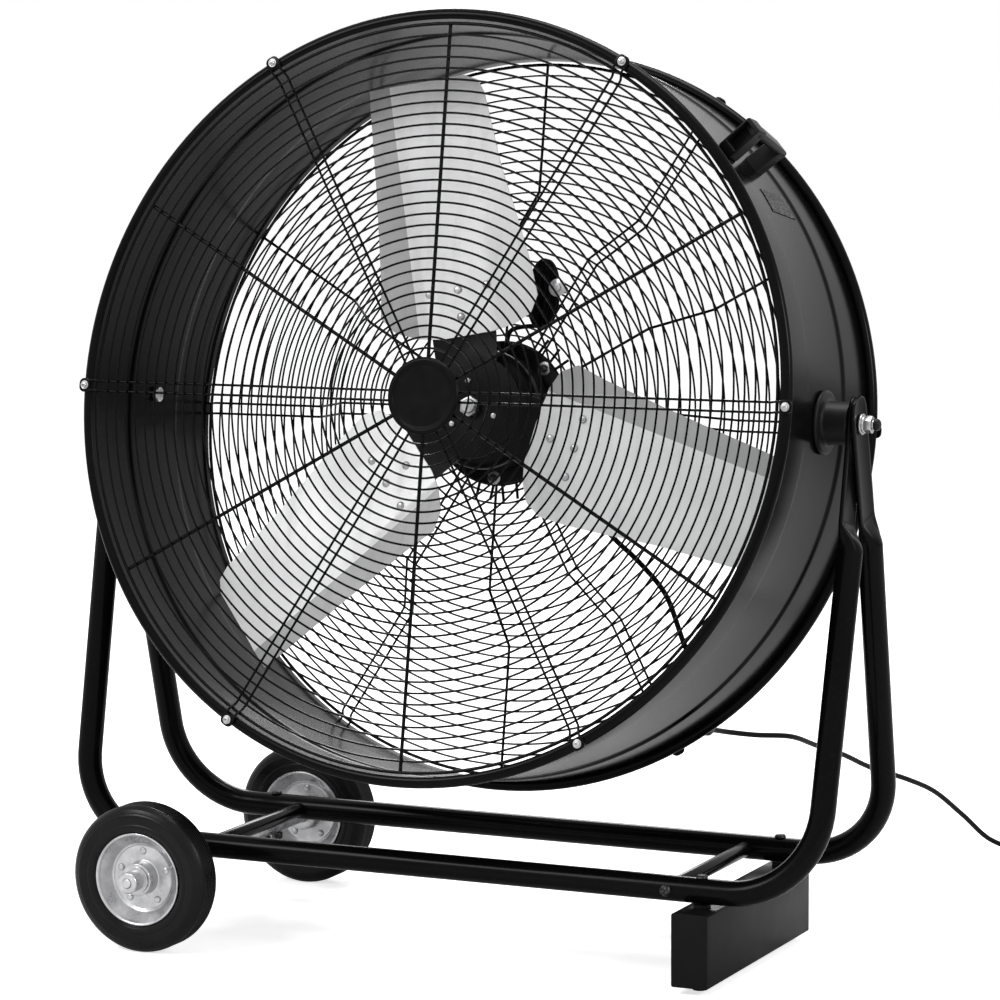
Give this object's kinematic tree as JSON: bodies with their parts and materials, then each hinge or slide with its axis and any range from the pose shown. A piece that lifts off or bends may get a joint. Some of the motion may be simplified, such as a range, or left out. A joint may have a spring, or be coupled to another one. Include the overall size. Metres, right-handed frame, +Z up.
{
  "type": "drum fan",
  "caption": "Large portable drum fan: a tilting steel drum with wire grilles and a three-bladed rotor on a tube frame with wheels at one end and a foot box at the other.",
  "frame": {"origin": "on the floor, straight below the middle of the tilt axis", "axes": "+X towards the foot box, -Y towards the side the air blows to, +Z up"},
  "size_m": [1.177, 1.2154, 1.1939],
  "materials": {
    "black_gloss_paint": "smooth semi-gloss black powder coat",
    "black_wire": "semi-gloss black coated wire",
    "foot_paint": "satin black paint",
    "blade_steel": "plain light grey sheet metal",
    "spider_steel": "dark grey pressed steel",
    "zinc": "bright zinc plating",
    "dark_bolt": "blackened steel",
    "black_plastic": "fine matt moulded plastic",
    "badge_plastic": "smooth black disc",
    "plate_foil": "blank grey foil label",
    "tyre_rubber": "solid black tyre rubber",
    "rubber": "black rubber",
    "cord_jacket": "matt black cord jacket"
  },
  "bodies": {
    "frame": {"front_frame_tube": "black_gloss_paint", "rear_frame_tube": "black_gloss_paint", "foot_end_cross_tube": "black_gloss_paint", "foot_end_cross_bolt_front": "dark_bolt", "foot_end_cross_bolt_rear": "dark_bolt", "wheel_end_cross_tube": "black_gloss_paint", "wheel_end_cross_bolt_front": "dark_bolt", "wheel_end_cross_bolt_rear": "dark_bolt", "foot_box": "foot_paint", "foot_box_cap_front": "black_plastic", "foot_box_cap_rear": "black_plastic", "foot_box_bolt_front": "dark_bolt", "foot_box_bolt_rear": "dark_bolt", "rubber_foot_front": "rubber", "rubber_foot_rear": "rubber", "axle_bar": "dark_bolt", "axle_bolt_front": "dark_bolt", "axle_bolt_rear": "dark_bolt", "axle_nut_front": "zinc", "axle_nut_rear": "zinc", "mains_cord": "cord_jacket", "mains_cord_coil": "cord_jacket", "mains_plug": "black_plastic"},
    "drum": {"drum_shell": "black_gloss_paint", "front_grille": "black_wire", "rear_grille": "black_wire", "grille_badge": "badge_plastic", "grille_screw_1": "zinc", "grille_screw_2": "zinc", "grille_screw_3": "zinc", "grille_screw_4": "zinc", "grille_screw_5": "zinc", "grille_screw_6": "zinc", "handle": "black_plastic", "rating_plate": "plate_foil", "motor_body": "black_gloss_paint", "motor_front_cap": "black_gloss_paint", "motor_bolt_1": "zinc", "motor_bolt_2": "zinc", "motor_bolt_3": "zinc", "terminal_box": "black_plastic", "lead_hank": "cord_jacket", "lead_clip": "zinc", "motor_lead": "cord_jacket", "inner_lead": "cord_jacket", "lead_gland": "black_plastic", "pivot_boss_right": "black_gloss_paint", "pivot_boss_left": "black_gloss_paint", "pivot_bolt_right": "zinc", "pivot_bolt_left": "zinc"},
    "rotor": {"rotor_shaft": "zinc", "rotor_spider": "spider_steel", "blade_1": "blade_steel", "blade_2": "blade_steel", "blade_3": "blade_steel"},
    "wheel_front": {"wheel_rim_front": "zinc", "tyre_front": "tyre_rubber"},
    "wheel_rear": {"wheel_rim_rear": "zinc", "tyre_rear": "tyre_rubber"},
    "knob": {"speed_knob": "black_plastic"}
  },
  "joints": [
    {"name": "drum_tilt", "type": "hinge", "parent": "frame", "child": "drum", "pos_m": [0, 0, 0.689], "axis": [-1, 0, 0], "range_deg": [-25.8, 79.1], "deforming": ["mains_cord"]},
    {"name": "rotor_spin", "type": "hinge", "parent": "drum", "child": "rotor", "pos_m": [0, 0, 0.689], "axis": [0, 0.9822, -0.1879], "continuous": true},
    {"name": "knob_turn", "type": "hinge", "parent": "drum", "child": "knob", "pos_m": [0, 0.09822, 0.67021], "axis": [0, 0.9822, -0.1879], "range_deg": [-60, 60]},
    {"name": "wheel_front_spin", "type": "hinge", "parent": "frame", "child": "wheel_front", "pos_m": [-0.364, -0.227, 0.0953], "axis": [0, 1, 0], "continuous": true},
    {"name": "wheel_rear_spin", "type": "hinge", "parent": "frame", "child": "wheel_rear", "pos_m": [-0.364, 0.227, 0.0953], "axis": [0, 1, 0], "continuous": true}
  ]
}
